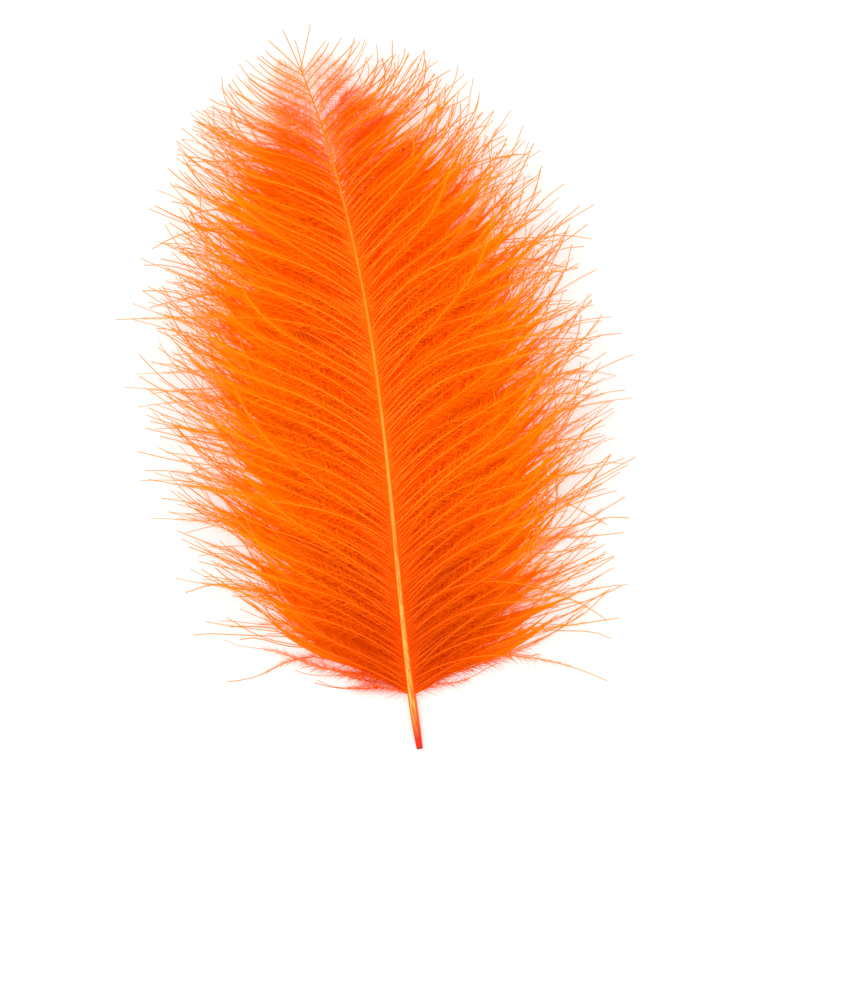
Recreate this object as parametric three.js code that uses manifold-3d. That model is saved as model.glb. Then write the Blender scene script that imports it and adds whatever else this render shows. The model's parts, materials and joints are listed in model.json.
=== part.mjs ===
// A cul de canard feather: one soft, downy feather of a duck, dyed orange, lying on a flat surface.
// Millimetres, +Z up. The shaft runs along +Y from its cut end to its tip, and the feather rests on z = 0.
// The origin is on that surface, under the middle of the feather's outline.
// The shaft and the locks of barbs that grow from it are one closed solid, as a real feather is one piece.
import * as THREE from "three";
import { mergeVertices } from "three/addons/utils/BufferGeometryUtils.js";
import Module from "manifold-3d";

// The shaft
const shaftLength = 60;
const bareLength = 4.6; // the bare quill below the first barbs
const bowWidth = 2.05; // how far the shaft bows to the right of its own chord
const bowPower = 1.8;
const quillHeight = 0.36; // the shaft's centre above the surface at its cut end
const shaftHeight = 2.3; // and where the fluff under it holds it up
const riseLength = 18;
const shaftSteps = 24;
const shaftSides = 8;
const pithRadius = 0.13; // the hollow that shows in the cut end
const pithDepth = 0.9;
// Its radius from the cut end to the tip: the share of its length, then millimetres.
const shaftRadii = [
  [0, 0.27],
  [0.07, 0.36],
  [0.2, 0.28],
  [0.45, 0.21],
  [0.75, 0.14],
  [1, 0.1],
];

// The barbs: their length and angle change along the shaft, and each side has its own angles, in degrees.
const tipLength = 3.4;
const fullLength = 26;
const lengthGrowth = 18; // how far below the tip they reach about two thirds of their full length
const baseLength = 18; // the lowest barbs
const baseGrowth = 8;
const tipAngles = { left: 31, right: 34 };
const fullAngles = { left: 46, right: 51 };
const angleGrowth = 3.5;
const flareAngles = { left: 5, right: 15 }; // added to the lowest barbs, which stand out more
const flareLength = 5;
const spreadAngles = { left: 13, right: 16 }; // a barb bends outwards by this much in its first half
const returnAngle = 21; // and back towards the feather's tip by this much in its second
const headingShare = 0.4; // how much of the shaft's own bend its barbs follow

// The locks that the barbs lie in
const locksPerSide = 32;
const lockOverlap = 1.35; // their width beside their spacing
const lockThickness = 0.5; // half of it, at a lock's thickest
const tipThickness = 0.1;
const highRise = 4; // how far the highest locks stand above the shaft
const dipShare = 0.42; // the share of its length at which a low lock reaches the surface
const lengthChange = 0.05; // how much neighbours differ in length
const lockStations = [0, 0.2, 0.42, 0.64, 0.84, 1];
// Neighbouring locks lie at different heights, from 0, on the surface, to 1, the highest.
const lockLayers = [0.1, 0.62, 0, 0.88, 0.34, 0, 1, 0.48];
const rightLayerShift = 3;
const rightRootShift = 0.35; // the right locks' roots lie between the left ones'
const firstRoot = 5.1;
const lastRoot = 59.1;
const pathSteps = 28;

// The last barbs, a small fan ahead of the shaft's tip, from its left to its right
const sprayAngles = [-30, 0, 30];
const sprayLength = 4;
const sprayWidth = 0.42;
const sprayLayer = 0.6;

// The down at the base: loose locks under the lowest barbs
const downPerSide = 3;
const downAngles = [62, 80]; // from the highest to the lowest
const downLength = 14.5;
const downShortening = 0.12; // each one is shorter than the one above it by this share
const downWidth = 0.55;
const downRootStep = 0.22;

// A lock's section, across it and up: its underside is flat.
const lockSection = [
  [-1, -0.2],
  [0, 1],
  [1, -0.2],
  [0.5, -1],
  [-0.5, -1],
];

const wasm = await Module();
wasm.setup();

const radians = THREE.MathUtils.degToRad;
const smooth = THREE.MathUtils.smoothstep;
const lerp = THREE.MathUtils.lerp;

// A point of the shaft's centre line, at a share of its length.
function shaftPoint(t) {
  const peak = bowPower / (bowPower + 1);
  const bow = (share) => share ** bowPower * (1 - share);
  return new THREE.Vector3(
    (bowWidth * bow(t)) / bow(peak),
    shaftLength * t,
    lerp(quillHeight, shaftHeight, smooth(shaftLength * t, 0, riseLength)),
  );
}

function shaftRadius(t) {
  const above = Math.max(1, shaftRadii.findIndex(([share]) => share >= t));
  const [lowShare, lowRadius] = shaftRadii[above - 1];
  const [highShare, highRadius] = shaftRadii[above];
  return THREE.MathUtils.mapLinear(t, lowShare, highShare, lowRadius, highRadius);
}

// The way the shaft points at a share of its length, as an angle from +Y towards +X.
function shaftHeading(t) {
  const step = 0.01;
  const ahead = shaftPoint(Math.min(1, t + step));
  const behind = shaftPoint(Math.max(0, t - step));
  return Math.atan2(ahead.x - behind.x, ahead.y - behind.y);
}

// A closed solid from rings of points, each ring with the same number of them, going round the same way.
function loft(rings) {
  const sides = rings[0].length;
  const faces = [];
  for (let r = 0; r + 1 < rings.length; r++) {
    for (let k = 0; k < sides; k++) {
      const a = r * sides + k;
      const b = r * sides + ((k + 1) % sides);
      faces.push(a, b, b + sides, a, b + sides, a + sides);
    }
  }
  const last = (rings.length - 1) * sides;
  for (let k = 1; k + 1 < sides; k++) {
    faces.push(0, k + 1, k);
    faces.push(last, last + k, last + k + 1);
  }
  const geometry = new THREE.BufferGeometry().setFromPoints(rings.flat()).setIndex(faces);
  const merged = mergeVertices(geometry, 1e-4);
  return new wasm.Manifold(
    new wasm.Mesh({
      numProp: 3,
      vertProperties: merged.attributes.position.array,
      triVerts: new Uint32Array(merged.index.array),
    }),
  );
}

// One ring round the shaft's centre line. A flat side of it faces down.
function shaftRing(t, radius) {
  const centre = shaftPoint(t);
  const heading = shaftHeading(t);
  const across = new THREE.Vector3(Math.cos(heading), -Math.sin(heading), 0);
  const ring = [];
  for (let k = 0; k < shaftSides; k++) {
    const turn = (-(k + 0.5) / shaftSides) * 2 * Math.PI;
    const point = centre.clone().addScaledVector(across, radius * Math.cos(turn));
    point.z += radius * Math.sin(turn);
    ring.push(point);
  }
  return ring;
}

// The shaft tapers from the quill to a fine tip. Its cut end is hollow.
function makeShaft() {
  const rings = [shaftRing(pithDepth / shaftLength, pithRadius / 2), shaftRing(0, pithRadius)];
  for (let i = 0; i <= shaftSteps; i++) {
    const t = i / shaftSteps;
    rings.push(shaftRing(t, shaftRadius(t)));
  }
  return loft(rings);
}

// How long the barbs are at a share of the shaft's length.
function barbLength(t) {
  const below = shaftLength * (1 - t);
  const above = shaftLength * t - bareLength;
  const grown = (fullLength - tipLength) * (1 - Math.exp(-below / lengthGrowth));
  return tipLength + grown - (fullLength - baseLength) * Math.exp(-above / baseGrowth);
}

// And at what angle they leave it.
function barbAngle(t, side) {
  const below = shaftLength * (1 - t);
  const above = shaftLength * t - bareLength;
  const opened = (fullAngles[side] - tipAngles[side]) * (1 - Math.exp(-below / angleGrowth));
  return tipAngles[side] + opened + flareAngles[side] * Math.exp(-above / flareLength);
}

// The centre line of a lock: it leaves the shaft, bends outwards, then curves back towards the feather's tip.
// Its height blends a path that comes down to the surface with one that arches up.
function lockPath(t, side, layer, rootAngle, length) {
  const turn = side === "right" ? 1 : -1;
  const heading = headingShare * shaftHeading(t);
  const path = [shaftPoint(t)];
  for (let i = 1; i <= pathSteps; i++) {
    const u = (i - 0.5) / pathSteps;
    const bend = spreadAngles[side] * smooth(u, 0, 0.5) - returnAngle * smooth(u, 0.45, 1.1);
    const angle = heading + turn * radians(rootAngle + bend);
    const step = new THREE.Vector3(Math.sin(angle), Math.cos(angle), 0);
    path.push(path[i - 1].clone().addScaledVector(step, length / pathSteps));
  }
  const rootHeight = path[0].z;
  const rise = (highRise * length) / fullLength;
  path.forEach((point, i) => {
    const u = i / pathSteps;
    const low = rootHeight * (1 - smooth(u, 0, dipShare));
    const high = rootHeight + rise * Math.sin(Math.PI * 0.62 * u);
    point.z = lerp(low, high, layer);
  });
  return new THREE.CatmullRomCurve3(path);
}

// A lock is a long blade with a flat underside, broad where it overlaps its neighbours, with a fine tip.
function makeLock(path, width) {
  const rings = lockStations.map((u) => {
    const centre = path.getPoint(u);
    const tangent = path.getTangent(u);
    const across = new THREE.Vector3(tangent.y, -tangent.x, 0).normalize();
    const taper = 1 - smooth(u, 0.45, 1.02);
    const halfWidth = Math.max(tipThickness, width * lerp(0.85, 1, smooth(u, 0, 0.3)) * taper);
    const halfThickness = lerp(tipThickness, lockThickness, taper);
    centre.z = Math.max(centre.z, halfThickness); // a low lock lies flat on the surface
    return lockSection.map(([x, z]) => {
      const point = centre.clone().addScaledVector(across, x * halfWidth);
      point.z += z * halfThickness;
      return point;
    });
  });
  return loft(rings);
}

// One row of locks up the shaft.
function makeVane(side) {
  const isRight = side === "right";
  const rootStep = (lastRoot - firstRoot) / (locksPerSide - 1 + rightRootShift);
  const locks = [];
  for (let i = 0; i < locksPerSide; i++) {
    const t = (firstRoot + rootStep * (i + (isRight ? rightRootShift : 0))) / shaftLength;
    const layer = lockLayers[(i + (isRight ? rightLayerShift : 0)) % lockLayers.length];
    const angle = barbAngle(t, side);
    const length = barbLength(t) * (1 + lengthChange * Math.sin(2.4 * i + (isRight ? 1 : 0)));
    const halfWidth = (rootStep * Math.sin(radians(angle)) * lockOverlap) / 2;
    locks.push(makeLock(lockPath(t, side, layer, angle, length), halfWidth));
  }
  return locks;
}

// The loose down below it.
function makeDown(side) {
  const locks = [];
  for (let i = 0; i < downPerSide; i++) {
    const angle = lerp(...downAngles, i / (downPerSide - 1));
    const t = (firstRoot - downRootStep * i) / shaftLength;
    const length = downLength * (1 - downShortening * i);
    const layer = i % 2 === 0 ? 0.3 : 0;
    locks.push(makeLock(lockPath(t, side, layer, angle, length), downWidth));
  }
  return locks;
}

// The fan at the shaft's tip.
function makeSpray() {
  return sprayAngles.map((angle) => {
    const side = angle < 0 ? "left" : "right";
    return makeLock(lockPath(1, side, sprayLayer, Math.abs(angle), sprayLength), sprayWidth);
  });
}

function geometryOf(solid) {
  const mesh = solid.getMesh();
  return new THREE.BufferGeometry()
    .setAttribute("position", new THREE.BufferAttribute(mesh.vertProperties, mesh.numProp))
    .setIndex(new THREE.BufferAttribute(mesh.triVerts, 1));
}

const sides = ["left", "right"];
const locks = sides.flatMap((side) => [...makeVane(side), ...makeDown(side)]);
const geometry = geometryOf(wasm.Manifold.union([makeShaft(), ...makeSpray(), ...locks]));

// The origin goes under the middle of the outline.
geometry.computeBoundingBox();
const middle = geometry.boundingBox.getCenter(new THREE.Vector3());
geometry.translate(-middle.x, -middle.y, 0);

const feather = new THREE.Mesh(
  geometry,
  new THREE.MeshStandardMaterial({ color: 0xff6a00, roughness: 0.8, metalness: 0 }),
);
feather.name = "feather";

const model = new THREE.Group();
model.add(feather);

export default model;
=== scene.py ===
import json
import math
import bpy
import numpy as np
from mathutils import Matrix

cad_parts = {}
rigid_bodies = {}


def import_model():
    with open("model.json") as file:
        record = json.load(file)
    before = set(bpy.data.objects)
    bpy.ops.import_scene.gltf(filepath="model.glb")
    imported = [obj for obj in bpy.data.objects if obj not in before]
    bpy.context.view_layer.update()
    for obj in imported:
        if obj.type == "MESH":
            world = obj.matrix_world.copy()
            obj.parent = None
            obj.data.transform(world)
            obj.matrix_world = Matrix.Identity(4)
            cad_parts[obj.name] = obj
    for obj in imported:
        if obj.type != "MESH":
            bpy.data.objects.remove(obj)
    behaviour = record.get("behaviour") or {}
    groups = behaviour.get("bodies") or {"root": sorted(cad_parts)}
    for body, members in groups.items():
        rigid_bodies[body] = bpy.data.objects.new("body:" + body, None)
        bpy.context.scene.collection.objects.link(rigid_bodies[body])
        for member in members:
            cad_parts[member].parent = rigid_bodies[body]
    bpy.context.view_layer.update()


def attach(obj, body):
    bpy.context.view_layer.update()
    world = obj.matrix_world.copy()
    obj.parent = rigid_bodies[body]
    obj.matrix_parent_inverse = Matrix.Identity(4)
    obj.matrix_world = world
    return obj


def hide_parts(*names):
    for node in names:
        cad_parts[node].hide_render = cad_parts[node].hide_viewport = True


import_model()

# A cul de canard feather, dyed orange, lying on a white surface.
# Lengths in the dictionaries are millimetres and angles are degrees. Meshes are made in metres.
# Places are the frame's: x to the right, y towards the feather's tip, z up from the surface under it.
# t is a share of the shaft from its cut end, and u a share of a hair from its root.
# side is -1 for the left vane and 1 for the right one, and a pair that bySide() reads is (left, right).

mm = 0.001
upwards = np.array([0.0, 0.0, 1.0])
random = np.random.default_rng(12)
print("frame loaded")


# Helpers

def smooth(x, low, high):
    # 3s^2 - 2s^3 of s, the share of the way from low to high, held between 0 and 1
    s = np.clip((x - low) / (high - low), 0.0, 1.0)
    return s * s * (3.0 - 2.0 * s)


def mix(a, b, share):
    return a + (b - a) * share


def bySide(pair, side):
    # the left or the right number of a pair
    return np.where(side > 0, pair[1], pair[0])


def unit(vectors):
    return vectors / np.maximum(np.linalg.norm(vectors, axis=-1, keepdims=True), 1e-12)


def tangentsOf(paths):
    return unit(np.gradient(paths, axis=1))


def levelAcross(tangents):
    # the level direction across each tangent: tangent x upwards
    return unit(np.cross(tangents, upwards))


def pathLengths(paths):
    return np.linalg.norm(np.diff(paths, axis=1), axis=2).sum(axis=1)


def evenShares(count, scatter=(0.0, 1.0)):
    # one share for each hair of a row, at a random place within the hair's own even part of the row
    return (np.arange(count) + random.uniform(*scatter, count)) / count


def meshFrom(name, points, faces, values=None, rounded=False):
    # one object at the origin from an array of points in millimetres and a list of arrays of faces,
    # each array with faces of one size; values are numbers per point, kept as named attributes;
    # hairs have flat faces, because rounded ones on so few sides lose light
    mesh = bpy.data.meshes.new(name)
    corners = np.concatenate([block.ravel() for block in faces]).astype(np.int32)
    sizes = np.concatenate([np.full(len(block), block.shape[1]) for block in faces]).astype(np.int32)
    starts = np.concatenate([[0], np.cumsum(sizes)[:-1]]).astype(np.int32)
    mesh.vertices.add(len(points))
    mesh.vertices.foreach_set("co", (points * mm).astype(np.float32).ravel())
    mesh.loops.add(len(corners))
    mesh.loops.foreach_set("vertex_index", corners)
    mesh.polygons.add(len(sizes))
    mesh.polygons.foreach_set("loop_start", starts)
    mesh.polygons.foreach_set("use_smooth", np.full(len(sizes), rounded))
    for key, numbers in (values or {}).items():
        layer = mesh.attributes.new(key, "FLOAT", "POINT")
        layer.data.foreach_set("value", numbers.astype(np.float32).ravel())
    mesh.update(calc_edges=True)
    mesh.validate()
    piece = bpy.data.objects.new(name, mesh)
    bpy.context.scene.collection.objects.link(piece)
    return piece


def tubeFaces(stations, sides):
    # walls between rings that follow each other, and fans to the pole before the first and after the last
    k = np.arange(sides)
    after = (k + 1) % sides
    base = 1 + np.arange(stations - 1)[:, None] * sides
    above = base + sides
    walls = np.stack([base + k, above + k, above + after, base + after], axis=-1).reshape(-1, 4)
    last = 1 + (stations - 1) * sides
    roots = np.stack([np.zeros(sides, dtype=int), k + 1, after + 1], axis=-1)
    tips = np.stack([np.full(sides, last + sides), last + after, last + k], axis=-1)
    return walls, np.concatenate([roots, tips])


def tubes(paths, radii, sides, flatness=1.0):
    # closed tubes along many paths at once: paths is (tubes, stations, 3) and radii (tubes, stations);
    # ring point k of a station = centre + r cos f across + r flatness sin f upright, f = 2 pi k / sides,
    # with across level, and a pole at each end closes the tube
    count, stations, _ = paths.shape
    tangents = tangentsOf(paths)
    across = levelAcross(tangents)
    upright = np.cross(across, tangents)
    turns = np.arange(sides) * 2.0 * math.pi / sides
    ring = (np.cos(turns)[:, None] * across[:, :, None, :]
            + flatness * np.sin(turns)[:, None] * upright[:, :, None, :])
    rings = paths[:, :, None, :] + ring * radii[:, :, None, None]
    rings = rings.reshape(count, stations * sides, 3)
    points = np.concatenate([paths[:, :1], rings, paths[:, -1:]], axis=1)
    walls, ends = tubeFaces(stations, sides)
    offsets = (np.arange(count) * (stations * sides + 2))[:, None, None]
    return points.reshape(-1, 3), [(walls + offsets).reshape(-1, 4), (ends + offsets).reshape(-1, 3)]


def perPoint(numbers, sides):
    # spreads numbers per tube and station over the points that tubes() makes
    rings = np.repeat(numbers[:, :, None], sides, axis=2).reshape(len(numbers), -1)
    return np.concatenate([numbers[:, :1], rings, numbers[:, -1:]], axis=1).ravel()


# The shaft's line, which everything grows from

shaft = {
    "foot": (-2.3749, -31.9937),  # where its cut end lies in the frame
    "length": 60.0,
    "bare": 4.6,                  # bare quill below the first barbs
    "bow": 2.05,                  # how far it bows to the right of its chord
    "bowPower": 1.8,
    "quillHeight": 0.36,          # height of its centre at the cut end
    "height": 2.3,                # and where the down under it holds it up
    "rise": 18.0,
}


def shaftPoint(t):
    # x = bow t^p (1 - t) / its own peak, y = length t, z rises smoothly from the quill's height
    power = shaft["bowPower"]
    peak = power / (power + 1.0)
    x = shaft["bow"] * t ** power * (1.0 - t) / (peak ** power * (1.0 - peak))
    y = shaft["length"] * t
    z = mix(shaft["quillHeight"], shaft["height"], smooth(y, 0.0, shaft["rise"]))
    return np.stack([x + shaft["foot"][0], y + shaft["foot"][1], z], axis=-1)


def shaftHeading(t):
    # the angle from +y towards +x of the chord from t - step to t + step
    step = 0.01
    ahead = shaftPoint(np.minimum(t + step, 1.0))
    behind = shaftPoint(np.maximum(t - step, 0.0))
    return np.arctan2(ahead[..., 0] - behind[..., 0], ahead[..., 1] - behind[..., 1])


# Where barbs go: length and angle change along the shaft, and each side has its own angles

vane = {
    "perSide": 176,
    "firstRoot": 4.7,
    "lastRoot": 59.6,
    "rootScatter": (0.2, 0.8),    # where in its own part of the row a root may be
    "tipLength": 3.4,
    "fullLength": 26.0,
    "lengthGrowth": 18.0,
    "baseLength": 18.0,
    "baseGrowth": 8.0,
    "lengthChange": (0.82, 1.04),
    "tipAngles": (31.0, 34.0),    # left, right
    "fullAngles": (46.0, 51.0),
    "angleGrowth": 3.5,
    "angleChange": 3.2,           # between neighbours
    "tipGap": 2.5,                # the last barbs stand further apart: they gain this much over tipGapShare
    "tipGapShare": 0.03,
    "flareAngles": (5.0, 15.0),   # added to the lowest barbs, which stand out more
    "flareLength": 5.0,
    "spreadAngles": (13.0, 16.0),  # how far a barb bends outwards
    "spreadOver": (0.0, 0.5),     # and over which stretch of it
    "returnAngle": 21.0,          # how far it then bends back towards the tip
    "returnOver": (0.45, 1.1),
    "headingShare": 0.4,
    "highRise": 4.0,              # how far the highest barbs stand above the shaft
    "archShare": 0.62,            # of half a wave, which they follow up and down
    "dipShare": 0.42,             # the lowest ones are down on the surface from here
    "steps": 15,
    "sides": 4,
    "radius": 0.044,              # at the root, half the thickness
    "tipRadius": 0.029,
    "radiusChange": (0.75, 1.2),
    "taper": 0.3,                 # how much of the difference in radius it loses evenly
    "pointPower": 9,              # and how late it loses the rest
    "clumpChance": 0.6,           # that a barb starts a clump of its own
    "clumpPull": 0.08,
    "clumpFrom": 0.25,            # barbs are apart up to here
    "clumpLoft": 0.25,            # how much of its height a clump shares
    "drift": 10.0,                # how much its direction strays along it
    "curl": 20.0,
    "wave": 0.25,
    "waves": (0.6, 1.8),          # how many along a barb
    "waveSizes": (0.3, 1.0),      # shares of a wave's size, here and in all other hairs
    "tangle": (1.0, 1.4),         # how much drift, curl and wave each side has
    "tangleLength": (2.0, 16.0),  # barbs shorter than the first are straight, at the second fully tangled
    "lightShare": 0.8,            # where on the scale along a barb, from painted shade at the root to the tip's colour, the short barbs at the shaft's tip are
    "lightLength": (4.0, 12.0),   # shorter than the first, and beyond the second not at all
}


def barbLength(t):
    # tip + (full - tip)(1 - e^(-below / growth)) - (full - base) e^(-above / baseGrowth)
    below = shaft["length"] * (1.0 - t)
    above = shaft["length"] * t - shaft["bare"]
    grown = (vane["fullLength"] - vane["tipLength"]) * (1.0 - np.exp(-below / vane["lengthGrowth"]))
    short = (vane["fullLength"] - vane["baseLength"]) * np.exp(-above / vane["baseGrowth"])
    return vane["tipLength"] + grown - short


def barbAngle(t, side):
    # tip + (full - tip)(1 - e^(-below / growth)) + flare e^(-above / flareLength)
    below = shaft["length"] * (1.0 - t)
    above = shaft["length"] * t - shaft["bare"]
    low = bySide(vane["tipAngles"], side)
    opened = (bySide(vane["fullAngles"], side) - low) * (1.0 - np.exp(-below / vane["angleGrowth"]))
    return low + opened + bySide(vane["flareAngles"], side) * np.exp(-above / vane["flareLength"])


def barbPaths(t, side, layer, angle, length, drift, curl):
    # each path is the running sum of steps of length / steps in the direction
    # headingShare heading + side (angle + spread smooth(u, spreadOver) - return smooth(u, returnOver)
    # + drift u + curl u^2), and its height goes from a path that drops to the surface (layer 0)
    # to one that arches up by rise sin(pi archShare u) (layer 1)
    steps = vane["steps"]
    u = (np.arange(steps) + 0.5) / steps
    bend = (bySide(vane["spreadAngles"], side)[:, None] * smooth(u, *vane["spreadOver"])
            - vane["returnAngle"] * smooth(u, *vane["returnOver"])
            + drift[:, None] * u + curl[:, None] * u ** 2)
    turn = (vane["headingShare"] * shaftHeading(t)[:, None]
            + side[:, None] * np.radians(angle[:, None] + bend))
    move = np.stack([np.sin(turn), np.cos(turn)], axis=-1) * (length / steps)[:, None, None]
    roots = shaftPoint(t)
    flat = np.concatenate([np.zeros((len(t), 1, 2)), np.cumsum(move, axis=1)], axis=1) + roots[:, None, :2]
    u = np.arange(steps + 1) / steps
    low = roots[:, 2:] * (1.0 - smooth(u, 0.0, vane["dipShare"]))
    rise = vane["highRise"] * (length / vane["fullLength"])[:, None]
    high = roots[:, 2:] + rise * np.sin(math.pi * vane["archShare"] * u)
    z = mix(low, high, layer[:, None])
    return np.concatenate([flat, z[:, :, None]], axis=2)


def clumped(paths, group, pull):
    # draws each path's outer part to its group's mean path: p + pull smooth(u, clumpFrom, 1) (mean - p)
    groups = group.max() + 1
    sums = np.zeros((groups,) + paths.shape[1:])
    np.add.at(sums, group, paths)
    means = sums / np.bincount(group, minlength=groups)[:, None, None]
    u = np.linspace(0.0, 1.0, paths.shape[1])
    share = pull[group][:, None, None] * smooth(u, vane["clumpFrom"], 1.0)[None, :, None]
    return mix(paths, means[group], share)


def waved(paths, amplitude, waves):
    # slides each path sideways by amplitude u sin(2 pi waves u + phase), across and in height
    u = np.linspace(0.0, 1.0, paths.shape[1])
    across = levelAcross(tangentsOf(paths))
    phase = random.uniform(0.0, 2.0 * math.pi, (2, len(paths), 1))
    count = random.uniform(*waves, (2, len(paths), 1))
    size = amplitude * random.uniform(*vane["waveSizes"], (2, len(paths), 1))
    slide = size * u * np.sin(2.0 * math.pi * count * u + phase)
    return paths + slide[0][:, :, None] * across + slide[1][:, :, None] * upwards


def sunk(paths, depth, over=0.15):
    # hairs that leave the shaft below the vane's own barbs: z - depth smooth(u, 0, over)
    u = np.linspace(0.0, 1.0, paths.shape[1])
    paths[:, :, 2] -= depth * smooth(u, 0.0, over)
    return paths


def onSurface(paths, clearance):
    # nothing goes below the surface that the feather lies on
    paths[:, :, 2] = np.maximum(paths[:, :, 2], clearance)
    return paths


# The barbs

def growBarbs(side):
    # one row in clumps of about two: with v the share of the row from its end at the tip, a root is
    # (span - gap) v + gap (1 - e^(-v / gapShare)) below the last one
    count = vane["perSide"]
    v = evenShares(count, vane["rootScatter"])
    span = vane["lastRoot"] - vane["firstRoot"]
    below = (span - vane["tipGap"]) * v + vane["tipGap"] * (1.0 - np.exp(-v / vane["tipGapShare"]))
    t = (vane["lastRoot"] - below) / shaft["length"]
    sides = np.full(count, float(side))
    group = np.cumsum(random.random(count) < vane["clumpChance"])
    loft = random.uniform(0.0, 1.0, group.max() + 1)
    layer = mix(random.uniform(0.0, 1.0, count), loft[group], vane["clumpLoft"])
    tangle = float(bySide(vane["tangle"], side))
    angle = barbAngle(t, sides) + tangle * random.normal(0.0, vane["angleChange"], count)
    length = barbLength(t) * random.uniform(*vane["lengthChange"], count)
    tangle = tangle * smooth(length, *vane["tangleLength"])
    drift = tangle * random.normal(0.0, vane["drift"], count)
    curl = tangle * random.normal(0.0, vane["curl"], count)
    paths = barbPaths(t, sides, layer, angle, length, drift, curl)
    paths = clumped(paths, group, random.uniform(0.0, vane["clumpPull"], group.max() + 1))
    paths = waved(paths, vane["wave"] * tangle[:, None], vane["waves"])
    return onSurface(paths, vane["radius"])


def barbRadii(count, radius, tipRadius):
    # the share of radius over tipRadius is 1 - taper u - (1 - taper) u^pointPower
    u = np.linspace(0.0, 1.0, vane["steps"] + 1)
    taper = vane["taper"]
    share = 1.0 - taper * u - (1.0 - taper) * u ** vane["pointPower"]
    scale = random.uniform(*vane["radiusChange"], count)[:, None]
    return scale * mix(tipRadius, radius, share)[None, :]


def dyed(along, reach):
    # where the colour is read along a barb, from painted shade at the root to the tip: the short barbs at
    # the shaft's tip are light all along
    return np.maximum(along, vane["lightShare"] * (1.0 - smooth(reach, *vane["lightLength"])))


def barbPiece(name, paths, radii, flatness=1.0):
    count, stations, _ = paths.shape
    points, faces = tubes(paths, radii, vane["sides"], flatness)
    along = dyed(np.linspace(0.0, 1.0, stations)[None, :], pathLengths(paths)[:, None])
    tint = np.repeat(random.random(count)[:, None], stations, axis=1)
    values = {"along": perPoint(along, vane["sides"]), "tint": perPoint(tint, vane["sides"])}
    return meshFrom(name, points, faces, values)


# The barbules: short fine hairs along every barb

barbule = {
    "vane": {
        "perBarb": 500,           # on a barb of full length
        "spread": 0.9,            # below 1 there are more of them further out
        "rootLength": 0.45,       # beside the shaft, where the barbs show between them
        "radius": 0.024,
    },
    "down": {
        "perBarb": 440,
        "spread": 0.6,
        "rootLength": 1.2,        # they fill the gaps beside the shaft
        "radius": 0.026,
    },
    "length": 1.5,
    "tipLength": 0.6,
    "lengthChange": (0.5, 1.2),
    "tipRadius": 0.011,           # of those on a barb's outer part, a thin haze
    "radiusChange": (0.7, 1.2),
    "rootAngle": 50.0,            # to the barb
    "tipAngle": 24.0,
    "angleChange": 12.0,
    "twist": 0.5,                 # how far they turn out of the vane's own plane, in radians
    "droop": 0.55,                # and how far they hang, so that the barb itself lies on top
    "rootZone": (0.02, 0.3),      # the stretch of a barb over which rootLength passes into length
    "fadeStart": 0.45,            # they get shorter and thinner from here
    "bareShare": 0.9,             # and the barb's tip is bare beyond this
    "shortZone": 0.72,            # times these shares, on short barbs
    "zoneLength": (9.0, 24.0),    # fully on barbs up to the first length, not at all from the second on
    "shortShare": 0.85,           # times the barbules' own length, on short barbs
    "grownLength": (3.0, 16.0),
    "shortDensity": 1.3,          # times their number for each millimetre, on short barbs
    "densityLength": (3.0, 14.0),
}


def growBarbules(paths, kind):
    # at a share s = zone even^spread of a barb, a spike of three sides from a ring of three points round
    # the barb's line to root + length (cos a tangent + sin a (cos f across + (sin f - droop (1 - s))
    # upright)), f mostly near 0 or pi; a shorter barb has fewer of them, and finer ones
    count, stations, _ = paths.shape
    tangents = tangentsOf(paths)
    reach = pathLengths(paths)
    even = (np.arange(kind["perBarb"]) + random.random((count, kind["perBarb"]))) / kind["perBarb"]
    density = mix(barbule["shortDensity"], 1.0, smooth(reach, *barbule["densityLength"]))
    kept = reach / vane["fullLength"] * density
    row, column = np.nonzero(random.random(even.shape) < kept[:, None])
    zone = mix(barbule["shortZone"], 1.0, smooth(reach, *barbule["zoneLength"]))[row]
    s = barbule["bareShare"] * zone * even[row, column] ** kind["spread"]
    place = s * (stations - 1)
    low = np.minimum(place.astype(int), stations - 2)
    rest = (place - low)[:, None]
    root = mix(paths[row, low], paths[row, low + 1], rest)
    tangent = unit(mix(tangents[row, low], tangents[row, low + 1], rest))
    across = levelAcross(tangent)
    upright = np.cross(across, tangent)
    number = len(s)
    angle = np.radians(mix(barbule["rootAngle"], barbule["tipAngle"], s)
                       + random.normal(0.0, barbule["angleChange"], number))
    facing = np.where(random.random(number) < 0.5, 0.0, math.pi)
    facing = facing + random.normal(0.0, barbule["twist"], number)
    hang = np.sin(facing) - barbule["droop"] * (1.0 - s)
    sideways = unit(np.cos(facing)[:, None] * across + hang[:, None] * upright)
    ahead = np.cos(angle)[:, None] * tangent + np.sin(angle)[:, None] * sideways
    fade = 1.0 - smooth(s / zone, barbule["fadeStart"], barbule["bareShare"])
    grown = smooth(reach, *barbule["grownLength"])[row]
    length = mix(barbule["tipLength"], barbule["length"], fade)
    length = length * random.uniform(*barbule["lengthChange"], number)
    length = length * mix(mix(1.0, kind["rootLength"], grown), 1.0, smooth(s, *barbule["rootZone"]))
    length = length * mix(barbule["shortShare"], 1.0, grown)
    tip = root + ahead * length[:, None]
    tip[:, 2] = np.maximum(tip[:, 2], kind["radius"])
    radius = mix(barbule["tipRadius"], kind["radius"], fade * grown)
    radius = radius * random.uniform(*barbule["radiusChange"], number)
    widthways = unit(np.cross(ahead, upright))
    thickways = np.cross(widthways, ahead)
    turns = np.arange(3) * 2.0 * math.pi / 3.0
    ring = (np.cos(turns)[:, None] * widthways[:, None, :]
            + np.sin(turns)[:, None] * thickways[:, None, :]) * radius[:, None, None]
    return np.concatenate([root[:, None] + ring, tip[:, None]], axis=1), dyed(s, reach[row])


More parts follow.
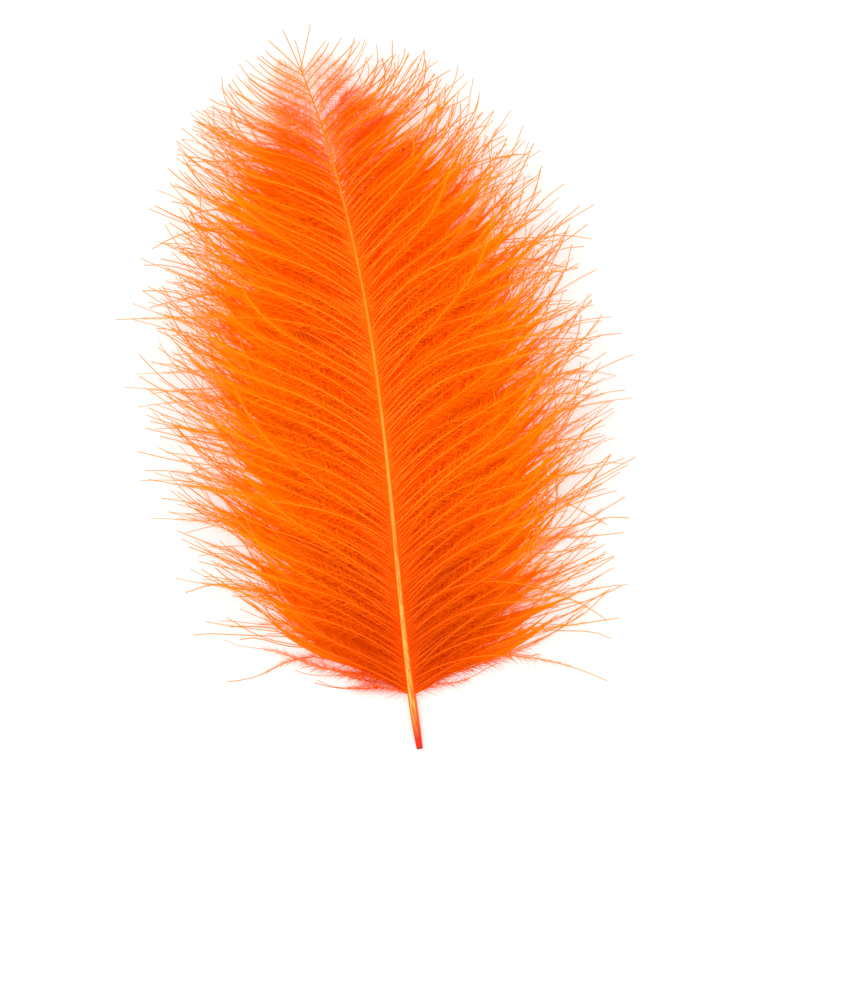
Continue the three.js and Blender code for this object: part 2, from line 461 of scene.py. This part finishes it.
def barbulePiece(name, spikes, along):
    # spikes is (barbules, 4, 3): three points round the root, then the tip
    count = len(spikes)
    one = np.array([[0, 1, 2], [1, 0, 3], [2, 1, 3], [0, 2, 3]])
    faces = (one[None] + (np.arange(count) * 4)[:, None, None]).reshape(-1, 3)
    values = {"along": np.repeat(along, 4), "tint": np.repeat(random.random(count), 4)}
    return meshFrom(name, spikes.reshape(-1, 3), [faces], values)


# Rows of softer hairs under the vane's own barbs

def rowOf(row, side):
    # roots, sides, layers, angles and lengths, as barbPaths takes them: roots spaced along the shaft from
    # just above the vane's first one to the row's own top, angles and lengths beside the vane's own
    count = row["perSide"]
    even = evenShares(count, row["rootScatter"])
    sides = np.full(count, float(side))
    t = mix(vane["firstRoot"] + row["start"], bySide(row["tops"], sides), even) / shaft["length"]
    angle = barbAngle(t, sides) + random.normal(*row["angle"], count)
    length = row["length"] * barbLength(t) * random.uniform(*row["lengthChange"], count)
    layer = random.uniform(*row["layers"], count)
    return t, sides, layer, angle, length


# Underdown: as the vane's barbs, but lower, shorter and more at random

underdown = {
    "perSide": 128,
    "rootScatter": (0.0, 1.0),
    "start": 0.0,                 # above the vane's first root
    "tops": (52.0, 55.0),         # where its last root is, below the sparse tip
    "angle": (1.0, 5.0),          # beside the vane's own: the mean, and how much it varies
    "length": 0.95,               # a share of the vane's own
    "lengthChange": (0.7, 1.1),
    "layers": (0.05, 0.6),
    "curl": 24.0,
    "drift": 9.0,
    "sink": 0.5,
    "wave": 0.6,
    "waves": (0.8, 2.4),
    "radiusShare": 0.7,           # of the vane's radius, in all loose down
}


def growUnderdown(side):
    row = rowOf(underdown, side)
    curl = random.normal(0.0, underdown["curl"], underdown["perSide"])
    drift = random.normal(0.0, underdown["drift"], underdown["perSide"])
    paths = sunk(barbPaths(*row, drift, curl), underdown["sink"])
    return onSurface(waved(paths, underdown["wave"], underdown["waves"]), vane["radius"])


# Base down: loose hairs from a short span above the bare quill

baseDown = {
    "perSide": 10,
    "span": 2.5,
    "angles": (52.0, 70.0),       # at the span's top, and at its foot
    "angleChange": 3.0,
    "length": 12.5,
    "shortening": 0.25,           # the lowest ones are shorter by this share
    "lengthChange": (0.8, 1.05),
    "layers": (0.05, 0.5),
    "curl": 6.0,
    "drift": 4.0,
    "wave": 0.25,
    "waves": (0.6, 1.6),
}


def growBase(side):
    # angles fanned evenly from the span's top to its foot, with some chance
    count = baseDown["perSide"]
    share = evenShares(count)
    t = (shaft["bare"] + baseDown["span"] * (1.0 - share)) / shaft["length"]
    sides = np.full(count, float(side))
    angle = mix(*baseDown["angles"], share) + random.normal(0.0, baseDown["angleChange"], count)
    length = baseDown["length"] * (1.0 - baseDown["shortening"] * share)
    length = length * random.uniform(*baseDown["lengthChange"], count)
    layer = random.uniform(*baseDown["layers"], count)
    curl = random.normal(0.0, baseDown["curl"], count)
    drift = random.normal(0.0, baseDown["drift"], count)
    paths = barbPaths(t, sides, layer, angle, length, drift, curl)
    return onSurface(waved(paths, baseDown["wave"], baseDown["waves"]), vane["radius"])


# Spray: the last barbs, a small bare fan ahead of the shaft's tip

spray = {
    "angles": (-26.0, -3.0, 9.0, 35.0, 58.0),  # to the shaft
    "span": 0.015,                # the share of the shaft that they grow from
    "rises": (0.0, 0.25),         # height gained for each millimetre
    "length": 4.2,
    "lengthChange": (0.75, 1.0),
    "wave": 0.08,
    "waves": (0.4, 0.8),
}


def growSpray():
    # nearly straight hairs, root + length u (sin a, cos a, rise)
    count = len(spray["angles"])
    t = 1.0 - spray["span"] * random.random(count)
    turn = np.radians(spray["angles"]) + shaftHeading(t)
    ahead = np.stack([np.sin(turn), np.cos(turn), random.uniform(*spray["rises"], count)], axis=-1)
    length = spray["length"] * random.uniform(*spray["lengthChange"], count)
    u = np.linspace(0.0, 1.0, vane["steps"] + 1)
    paths = shaftPoint(t)[:, None] + (length[:, None] * u)[:, :, None] * ahead[:, None]
    return waved(paths, spray["wave"], spray["waves"])


# Strays: a few long hairs that curl away from the rest

stray = {
    "perSide": 12,
    "shares": (0.22, 0.62),       # of the shaft, between which they grow
    "angles": (-4.0, 16.0),       # beside the vane's own
    "length": 23.5,
    "lengthChange": (0.8, 1.0),
    "layers": (0.1, 0.9),
    "curls": (-60.0, 46.0, 30.0),
    "curlChange": (0.6, 1.0),
    "wave": 0.5,
    "waves": (0.5, 1.2),
}


def growStrays(side):
    # any of the curls by chance, times a random share
    count = stray["perSide"]
    t = random.uniform(*stray["shares"], count)
    sides = np.full(count, float(side))
    angle = barbAngle(t, sides) + random.uniform(*stray["angles"], count)
    length = stray["length"] * random.uniform(*stray["lengthChange"], count)
    layer = random.uniform(*stray["layers"], count)
    curl = random.choice(stray["curls"], count) * random.uniform(*stray["curlChange"], count)
    paths = barbPaths(t, sides, layer, angle, length, np.zeros(count), curl)
    return onSurface(waved(paths, stray["wave"], stray["waves"]), vane["radius"])


# Fringe: bare hairs that run hidden under the vane, then turn to either side where it gets thin

fringe = {
    "perSide": 210,
    "rootScatter": (0.0, 1.0),
    "start": 0.0,
    "tops": (52.0, 55.0),
    "angle": (0.0, 5.0),
    "length": 1.06,
    "lengthChange": (0.8, 1.04),
    "layers": (0.05, 0.5),
    "curl": 46.0,
    "curlLength": (3.0, 20.0),    # hairs shorter than the first are straight, at the second fully curled
    "counter": 0.35,              # how much of its curl a hair first turns the other way
    "wave": 0.5,
    "waves": (1.0, 2.2),
    "tipShare": 1.2,              # of the vane's tipRadius
}


def growFringe(side):
    t, sides, layer, angle, length = rowOf(fringe, side)
    curl = random.normal(0.0, fringe["curl"], len(t)) * smooth(length, *fringe["curlLength"])
    paths = barbPaths(t, sides, layer, angle, length, -fringe["counter"] * curl, curl)
    return onSurface(waved(paths, fringe["wave"], fringe["waves"]), vane["radius"])


# Strands: where the down lies closest, low under the barbs, it is made as broad soft strands side by side

strand = {
    "perSide": 116,
    "rootScatter": (0.3, 0.7),
    "start": 0.2,
    "tops": (50.0, 51.5),
    "angle": (0.0, 1.5),
    "length": 0.84,
    "lengthChange": (0.88, 1.05),
    "shortShare": 0.84,           # of this length, where the vane's own barbs are short
    "shortLength": (10.0, 18.0),
    "layers": (0.15, 0.38),
    "drift": 3.0,
    "sink": 0.5,
    "clearance": 0.2,             # of their middle above the surface
    "halfWidth": 0.5,
    "tipWidth": 0.03,
    "widening": (-0.1, 0.06),     # the shares of its length between which it widens
    "narrowing": (0.52, 1.0),     # and between which it narrows
    "fullFrom": 19.0,             # shorter ones are narrower
    "thinUnder": 0.45,            # and those shorter than this share of it the narrowest
    "thinShare": 0.12,            # with this share of the width
    "flatness": 0.3,
}


def growStrands(side):
    # paths, and half widths of size mix(tipWidth, halfWidth, widened (1 - narrowed))
    t, sides, layer, angle, length = rowOf(strand, side)
    length = length * mix(strand["shortShare"], 1.0, smooth(length, *strand["shortLength"]))
    drift = random.normal(0.0, strand["drift"], len(t))
    paths = sunk(barbPaths(t, sides, layer, angle, length, drift, drift), strand["sink"])
    u = np.linspace(0.0, 1.0, vane["steps"] + 1)
    width = smooth(u, *strand["widening"]) * (1.0 - smooth(u, *strand["narrowing"]))
    full = smooth(length / strand["length"], strand["thinUnder"] * strand["fullFrom"], strand["fullFrom"])
    size = mix(strand["thinShare"], 1.0, full)
    radii = size[:, None] * mix(strand["tipWidth"], strand["halfWidth"], width)[None, :]
    return onSurface(paths, strand["clearance"]), radii


# Quill and shaft

quill = {
    "radii": ((0.0, 0.28), (0.03, 0.35), (0.07, 0.375), (0.2, 0.29),
              (0.45, 0.2), (0.85, 0.11), (1.0, 0.045)),  # shares of the shaft, and half the thickness there
    "flatness": 0.92,
    "stations": 150,
    "crowding": 1.15,             # above 1 they stand closer near the cut end
    "sides": 28,
    "hollowDepths": (1.1, 0.385, 0.03),  # of the small hollow at the cut end, from its bottom out
    "hollowShares": (0.25, 0.8, 1.0),    # and its radii there, shares of the pith's
    "pithRadius": 0.15,
    "rimShare": 0.86,             # the cut edge's radius, a share of the quill's first
    "ridge": 0.035,               # lengthwise ridges, a share of the radius
    "ridges": 7,
    "ridgeStart": (0.002, 0.03),  # shares of the shaft over which they rise
}


def growShaft():
    # a closed tube whose radius follows quill["radii"], times 1 + ridge cos(ridges f) round the shaft,
    # turned inwards at the cut end into a small hollow
    t = np.linspace(0.0, 1.0, quill["stations"]) ** quill["crowding"]
    shares, sizes = np.array(quill["radii"]).T
    radii = np.interp(t, shares, sizes)
    inward = np.array(quill["hollowDepths"]) / shaft["length"]
    hollow = np.array(quill["hollowShares"]) * quill["pithRadius"]
    t = np.concatenate([inward, [0.0], t])
    radii = np.concatenate([hollow, [quill["rimShare"] * radii[0]], radii])
    centre = shaftPoint(t)
    heading = shaftHeading(t)
    across = np.stack([np.cos(heading), -np.sin(heading), np.zeros_like(heading)], axis=-1)
    f = np.arange(quill["sides"]) * 2.0 * math.pi / quill["sides"]
    ridges = np.cos(quill["ridges"] * f)[None, :] * smooth(t, *quill["ridgeStart"])[:, None]
    reach = radii[:, None] * (1.0 + quill["ridge"] * ridges)
    points = centre[:, None, :] + (reach * np.cos(f))[:, :, None] * across[:, None, :]
    points[:, :, 2] += quill["flatness"] * reach * np.sin(f)
    stations, sides = reach.shape
    everything = np.concatenate([centre[:1], points.reshape(-1, 3), centre[-1:]])
    values = {"along": np.concatenate([t[:1], np.repeat(t, sides), t[-1:]]),
              "around": np.concatenate([[0.0], np.tile(np.cos(f), stations), [0.0]])}
    return meshFrom("shaft", everything, tubeFaces(stations, sides), values, rounded=True)


# Materials

def blended(tree, factor, a, b):
    # the colour between a and b, where each is a socket or a plain colour
    node = tree.nodes.new("ShaderNodeMix")
    node.data_type = "RGBA"
    tree.links.new(factor, node.inputs["Factor"])
    for value, socket in ((a, node.inputs[6]), (b, node.inputs[7])):
        if isinstance(value, tuple):
            socket.default_value = value
        else:
            tree.links.new(value, socket)
    return node.outputs[2]


def ranged(tree, value, low, high, atLow=0.0, atHigh=1.0):
    # a number that goes from atLow to atHigh while the socket's value goes from low to high
    node = tree.nodes.new("ShaderNodeMapRange")
    for key, number in (("From Min", low), ("From Max", high), ("To Min", atLow), ("To Max", atHigh)):
        node.inputs[key].default_value = number
    tree.links.new(value, node.inputs["Value"])
    return node.outputs["Result"]


def attributeOf(tree, name):
    node = tree.nodes.new("ShaderNodeAttribute")
    node.attribute_name = name
    return node.outputs["Fac"]


def newSockets(group, inputs, outputs):
    for kind, entries in (("INPUT", inputs), ("OUTPUT", outputs)):
        for name, socketType, value in entries:
            socket = group.interface.new_socket(name=name, in_out=kind, socket_type=socketType)
            if value is not None:
                socket.default_value = value


def dyeAndShadeGroup():
    # colour along a barb from painted shade at its root to its tip, with a little of every barb's own tint
    group = bpy.data.node_groups.new("dyeAlongBarb", "ShaderNodeTree")
    newSockets(group, [
        ("Along", "NodeSocketFloat", 0.0), ("Tint", "NodeSocketFloat", 0.5),
        ("RootEnd", "NodeSocketFloat", 0.3),
        ("Root", "NodeSocketColor", (0.9, 0.08, 0.0, 1.0)),
        ("Middle", "NodeSocketColor", (1.0, 0.15, 0.0, 1.0)),
        ("Tip", "NodeSocketColor", (1.0, 0.25, 0.02, 1.0)),
        ("Pale", "NodeSocketColor", (1.0, 0.4, 0.08, 1.0)),
        ("Paleness", "NodeSocketFloat", 0.3)],
        [("Color", "NodeSocketColor", None)])
    nodes, links = group.nodes, group.links
    source = nodes.new("NodeGroupInput").outputs
    result = nodes.new("NodeGroupOutput")
    tipFrom, tipTo = 0.4, 0.8     # the shares of a barb between which the tip's colour comes in
    rootShare = ranged(group, source["Along"], 0.0, 1.0)
    links.new(source["RootEnd"], rootShare.node.inputs["From Max"])
    # painted shade at the root passes into the middle's colour by RootEnd
    inner = blended(group, rootShare, source["Root"], source["Middle"])
    outer = blended(group, ranged(group, source["Along"], tipFrom, tipTo), inner, source["Tip"])
    paleness = nodes.new("ShaderNodeMath")
    paleness.operation = "MULTIPLY"
    links.new(source["Tint"], paleness.inputs[0])
    links.new(source["Paleness"], paleness.inputs[1])
    links.new(blended(group, paleness.outputs[0], outer, source["Pale"]), result.inputs["Color"])
    return group


def dirtGroup():
    # small dark specks: 1 where noise on the object's own place passes a threshold
    group = bpy.data.node_groups.new("dirtSpecks", "ShaderNodeTree")
    newSockets(group, [
        ("Vector", "NodeSocketVector", None), ("Scale", "NodeSocketFloat", 1500.0),
        ("Threshold", "NodeSocketFloat", 0.8)],
        [("Mask", "NodeSocketFloat", None)])
    nodes, links = group.nodes, group.links
    source = nodes.new("NodeGroupInput").outputs
    result = nodes.new("NodeGroupOutput")
    noise = nodes.new("ShaderNodeTexNoise")
    noise.inputs["Detail"].default_value = 1.0
    links.new(source["Vector"], noise.inputs["Vector"])
    links.new(source["Scale"], noise.inputs["Scale"])
    over = nodes.new("ShaderNodeMath")
    over.operation = "GREATER_THAN"
    links.new(noise.outputs["Fac"], over.inputs[0])
    links.new(source["Threshold"], over.inputs[1])
    links.new(over.outputs[0], result.inputs["Mask"])
    return group


dyeAndShadeTree = dyeAndShadeGroup()
dirt = dirtGroup()
nearQuill = {                     # the painted shade that barbs and barbules share round the quill, and their specks of dirt
    "shadePlace": (0.0, 7.0, 1.0),  # from the cut end's place on the surface, where the painted shade is darkest
    "shadeReach": (3.0, 16.0),     # darkest up to the first distance, and as elsewhere beyond the second
    "shadeShare": 0.65,
    "speckScale": 1300.0,
    "speckThreshold": 0.82,
    "dirt": (0.2, 0.015, 0.002, 1.0),
}
barbLook = {
    # painted shade at the roots beside the shaft
    "Root": (1.0, 0.12, 0.0, 1.0),
    "RootEnd": 0.12,
    # lighter than the barbules' middle: partly the barbs' own colour, partly painted sheen along the barbs
    "Middle": (1.0, 0.24, 0.005, 1.0),
    "Tip": (1.0, 0.26, 0.0, 1.0),
    "Pale": (1.0, 0.34, 0.02, 1.0),
    "Paleness": 0.5,
    # painted shade round the quill
    "paintedShade": (0.82, 0.07, 0.0, 1.0),
    "roughness": 0.5,
    "specular": 0.1,
}
barbuleLook = {
    # painted shade at the roots beside the shaft
    "Root": (1.0, 0.1, 0.0, 1.0),
    "RootEnd": 0.3,
    "Middle": (1.0, 0.18, 0.0, 1.0),
    "Tip": (1.0, 0.34, 0.0, 1.0),
    "Pale": (1.0, 0.25, 0.0, 1.0),
    "Paleness": 0.4,
    # painted shade round the quill
    "paintedShade": (0.82, 0.05, 0.0, 1.0),
    "roughness": 0.7,
    "specular": 0.0,
}


def dyedAndShadedDown(name, look):
    # soft dyed horn, coloured along each barb with painted shade at its root, deeper and darker round the
    # quill as painted shade, with specks of dirt
    material = bpy.data.materials.new(name)
    material.use_nodes = True
    tree = material.node_tree
    nodes, links = tree.nodes, tree.links
    shader = nodes["Principled BSDF"]
    colour = nodes.new("ShaderNodeGroup")
    colour.node_tree = dyeAndShadeTree
    for key in ("Root", "RootEnd", "Middle", "Tip", "Pale", "Paleness"):
        colour.inputs[key].default_value = look[key]
    links.new(attributeOf(tree, "along"), colour.inputs["Along"])
    links.new(attributeOf(tree, "tint"), colour.inputs["Tint"])
    place = nodes.new("ShaderNodeTexCoord")
    span = nodes.new("ShaderNodeVectorMath")
    span.operation = "DISTANCE"
    links.new(place.outputs["Object"], span.inputs[0])
    # painted shade: the colour turns deeper and darker round the quill
    shadeCentre = np.array((*shaft["foot"], 0.0)) + nearQuill["shadePlace"]
    span.inputs[1].default_value = tuple(shadeCentre * mm)
    near, far = nearQuill["shadeReach"]
    shadeAmount = ranged(tree, span.outputs["Value"], near * mm, far * mm, nearQuill["shadeShare"], 0.0)
    shadedColour = blended(tree, shadeAmount, colour.outputs["Color"], look["paintedShade"])
    specks = nodes.new("ShaderNodeGroup")
    specks.node_tree = dirt
    specks.inputs["Scale"].default_value = nearQuill["speckScale"]
    specks.inputs["Threshold"].default_value = nearQuill["speckThreshold"]
    links.new(place.outputs["Object"], specks.inputs["Vector"])
    dirty = blended(tree, specks.outputs["Mask"], shadedColour, nearQuill["dirt"])
    links.new(dirty, shader.inputs["Base Color"])
    shader.inputs["Roughness"].default_value = look["roughness"]
    shader.inputs["Specular IOR Level"].default_value = look["specular"]
    return material


hornLook = {
    "edge": (1.0, 0.13, 0.0, 1.0),
    "upper": (1.0, 0.21, 0.0, 1.0),
    "tip": (1.0, 0.19, 0.0, 1.0),
    # painted highlight: a bright line left of the shaft's middle
    "line": (1.0, 0.42, 0.05, 1.0),
    "centre": (1.0, 0.4, 0.08, 1.0),
    "streak": (0.6, 0.13, 0.01, 1.0),
    "cut": (0.72, 0.025, 0.002, 1.0),
    "rim": (0.3, 0.03, 0.008, 1.0),
    "streakScale": (9000.0, 90.0, 9000.0),  # for each metre: long streaks along the shaft
    "streakDetail": 3.0,
    "streakRange": (0.5, 0.62),   # of the noise, from centre to streak
    "wander": 0.6,                # how much the streaks move the pale middle's edge
    "sideRange": (0.5, 0.8),      # round the shaft, from 1 at its right edge to -1 at its left
    "lineRange": (-0.38, -0.46),
    "edgeRange": (-0.6, -0.75),
    "cutRange": (0.015, 0.06),    # along the shaft
    "upperRange": (0.2, 0.55),
    "upperShare": 0.85,
    "tipRange": (0.65, 0.95),
    "tipShare": 0.9,
    "rimRange": (0.0003, 0.0045),
    "roughnessRange": (0.3, 0.7),  # of the noise
    "roughness": (0.24, 0.4),
    "bump": 0.25,
    "bumpHeight": 0.03,
    "specular": 0.15,
    "coat": 0.05,
    "coatRoughness": 0.15,
}


def dyedHorn(name, look):
    # the shaft: low down pale along its middle with brownish streaks, a painted highlight as a bright line
    # left of it, and orange sides, orange further up, red at the cut end
    material = bpy.data.materials.new(name)
    material.use_nodes = True
    tree = material.node_tree
    nodes, links = tree.nodes, tree.links
    shader = nodes["Principled BSDF"]
    along = attributeOf(tree, "along")
    around = attributeOf(tree, "around")
    place = nodes.new("ShaderNodeTexCoord")
    stretch = nodes.new("ShaderNodeMapping")
    stretch.inputs["Scale"].default_value = look["streakScale"]
    links.new(place.outputs["Object"], stretch.inputs["Vector"])
    noise = nodes.new("ShaderNodeTexNoise")
    noise.inputs["Scale"].default_value = 1.0
    noise.inputs["Detail"].default_value = look["streakDetail"]
    links.new(stretch.outputs["Vector"], noise.inputs["Vector"])
    streaks = noise.outputs["Fac"]
    wander = nodes.new("ShaderNodeMath")
    wander.operation = "MULTIPLY_ADD"
    links.new(streaks, wander.inputs[0])
    wander.inputs[1].default_value = look["wander"]
    links.new(around, wander.inputs[2])
    streaked = blended(tree, ranged(tree, streaks, *look["streakRange"]), look["centre"], look["streak"])
    sided = blended(tree, ranged(tree, wander.outputs[0], *look["sideRange"]), streaked, look["edge"])
    # painted highlight along the shaft, left of its middle
    lined = blended(tree, ranged(tree, around, *look["lineRange"]), sided, look["line"])
    body = blended(tree, ranged(tree, around, *look["edgeRange"]), lined, look["edge"])
    reddened = blended(tree, ranged(tree, along, *look["cutRange"]), look["cut"], body)
    upperShare = ranged(tree, along, *look["upperRange"], 0.0, look["upperShare"])
    middled = blended(tree, upperShare, reddened, look["upper"])
    tipShare = ranged(tree, along, *look["tipRange"], 0.0, look["tipShare"])
    tipped = blended(tree, tipShare, middled, look["tip"])
    rimmed = blended(tree, ranged(tree, along, *look["rimRange"]), look["rim"], tipped)
    links.new(rimmed, shader.inputs["Base Color"])
    roughness = ranged(tree, streaks, *look["roughnessRange"], *look["roughness"])
    links.new(roughness, shader.inputs["Roughness"])
    bump = nodes.new("ShaderNodeBump")
    bump.inputs["Strength"].default_value = look["bump"]
    bump.inputs["Distance"].default_value = look["bumpHeight"] * mm
    links.new(streaks, bump.inputs["Height"])
    links.new(bump.outputs["Normal"], shader.inputs["Normal"])
    shader.inputs["Specular IOR Level"].default_value = look["specular"]
    shader.inputs["Coat Weight"].default_value = look["coat"]
    shader.inputs["Coat Roughness"].default_value = look["coatRoughness"]
    return material


# The feather

def dress(piece, material):
    piece.data.materials.append(material)
    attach(piece, "root")
    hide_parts("feather")


barbMaterial = dyedAndShadedDown("dyedBarb", barbLook)
barbuleMaterial = dyedAndShadedDown("dyedBarbule", barbuleLook)
dress(growShaft(), dyedHorn("dyedHorn", hornLook))
print("shaft made")

for sideName, side in (("left", -1), ("right", 1)):
    barbs = growBarbs(side)
    radii = barbRadii(len(barbs), vane["radius"], vane["tipRadius"])
    dress(barbPiece(sideName + "_barbs", barbs, radii), barbMaterial)
    spikes, along = growBarbules(barbs, barbule["vane"])
    parts = np.array_split(np.arange(len(spikes)), 2)
    for part, which in zip(("upper", "lower"), parts):
        piece = barbulePiece(f"{sideName}_{part}_barbules", spikes[which], along[which])
        dress(piece, barbuleMaterial)
    loose = np.concatenate([growUnderdown(side), growBase(side), growStrays(side)])
    radii = barbRadii(len(loose), underdown["radiusShare"] * vane["radius"], vane["tipRadius"])
    dress(barbPiece(sideName + "_down", loose, radii), barbMaterial)
    spikes, along = growBarbules(loose, barbule["down"])
    dress(barbulePiece(sideName + "_down_barbules", spikes, along), barbuleMaterial)
    bare = growFringe(side)
    radii = barbRadii(len(bare), vane["radius"], fringe["tipShare"] * vane["tipRadius"])
    dress(barbPiece(sideName + "_fringe_barbs", bare, radii), barbMaterial)
    strands, radii = growStrands(side)
    dress(barbPiece(sideName + "_strands", strands, radii, strand["flatness"]), barbuleMaterial)
    print(sideName + " vane made")

tipHairs = growSpray()
radii = barbRadii(len(tipHairs), vane["radius"], vane["tipRadius"])
dress(barbPiece("tip_barbs", tipHairs, radii), barbMaterial)
hairEndings = ("barbs", "barbules", "down", "strands")
hairs = [piece for piece in bpy.data.objects if piece.name.endswith(hairEndings)]
for piece in hairs:
    piece.data.calc_loop_triangles()
print("most triangles in a piece", max(len(piece.data.loop_triangles) for piece in hairs))
print("hair triangles in all", sum(len(piece.data.loop_triangles) for piece in hairs))


# Floor: a white table with a warm light of its own as well, which comes up through the thin fringe

stage = {
    "side": 2000.0,
    "colour": (0.45, 0.45, 0.45, 1.0),
    "roughness": 0.9,
    "glow": (0.5, 0.475, 0.44, 1.0),
}


def glowingFloor(name):
    material = bpy.data.materials.new(name)
    material.use_nodes = True
    shader = material.node_tree.nodes["Principled BSDF"]
    shader.inputs["Base Color"].default_value = stage["colour"]
    shader.inputs["Roughness"].default_value = stage["roughness"]
    shader.inputs["Specular IOR Level"].default_value = 0.0
    shader.inputs["Emission Color"].default_value = stage["glow"]
    shader.inputs["Emission Strength"].default_value = 1.0
    return material


half = stage["side"] * mm / 2.0
floorMesh = bpy.data.meshes.new("floor")
floorMesh.from_pydata([(-half, -half, 0.0), (half, -half, 0.0), (half, half, 0.0), (-half, half, 0.0)],
                      [], [(0, 1, 2, 3)])
floor = bpy.data.objects.new("floor", floorMesh)
bpy.context.scene.collection.objects.link(floor)
floor.data.materials.append(glowingFloor("whiteFloor"))


# Light: an even white surround and one soft lamp from the upper left

light = {
    "world": 1.12,
    "key": {"place": (-220.0, 200.0, 500.0), "size": 450.0, "watts": 1.25},
    "bounces": 12,                # light goes on deep into the down
}
world = bpy.data.worlds.new("softStudio")
world.use_nodes = True
world.node_tree.nodes["Background"].inputs["Color"].default_value = (1.0, 1.0, 1.0, 1.0)
world.node_tree.nodes["Background"].inputs["Strength"].default_value = light["world"]
bpy.context.scene.world = world


def areaLight(name, place, size, watts):
    # a round lamp at place that faces the origin
    lamp = bpy.data.lights.new(name, "AREA")
    lamp.shape = "DISK"
    lamp.size = size * mm
    lamp.energy = watts
    holder = bpy.data.objects.new(name, lamp)
    x, y, z = np.array(place) * mm
    holder.location = (x, y, z)
    holder.rotation_euler = (math.atan2(math.hypot(x, y), z), 0.0, math.atan2(x, -y))
    bpy.context.scene.collection.objects.link(holder)


areaLight("key", **light["key"])


# Camera: straight above, turned as the photograph is

view = {
    "lens": 90.0,
    "sensor": 36.0,
    "height": 86.67,              # what the image is high on the feather
    "centre": (4.45, 21.3),       # the image's middle, from the shaft's cut end
    "roll": -9.9,
    "clipStart": 10.0,
}
camera = bpy.data.cameras.new("camera")
camera.lens = view["lens"]
camera.sensor_fit = "VERTICAL"
camera.sensor_height = view["sensor"]
camera.clip_start = view["clipStart"] * mm
cameraObject = bpy.data.objects.new("camera", camera)
distance = view["height"] * view["lens"] / view["sensor"] + shaft["height"]
cameraObject.location = ((shaft["foot"][0] + view["centre"][0]) * mm,
                         (shaft["foot"][1] + view["centre"][1]) * mm, distance * mm)
cameraObject.rotation_euler = (0.0, 0.0, math.radians(view["roll"]))
bpy.context.scene.collection.objects.link(cameraObject)
bpy.context.scene.camera = cameraObject
bpy.context.scene.view_settings.view_transform = "Standard"
bpy.context.scene.cycles.diffuse_bounces = light["bounces"]
bpy.context.scene.cycles.max_bounces = light["bounces"]
print("stage made")
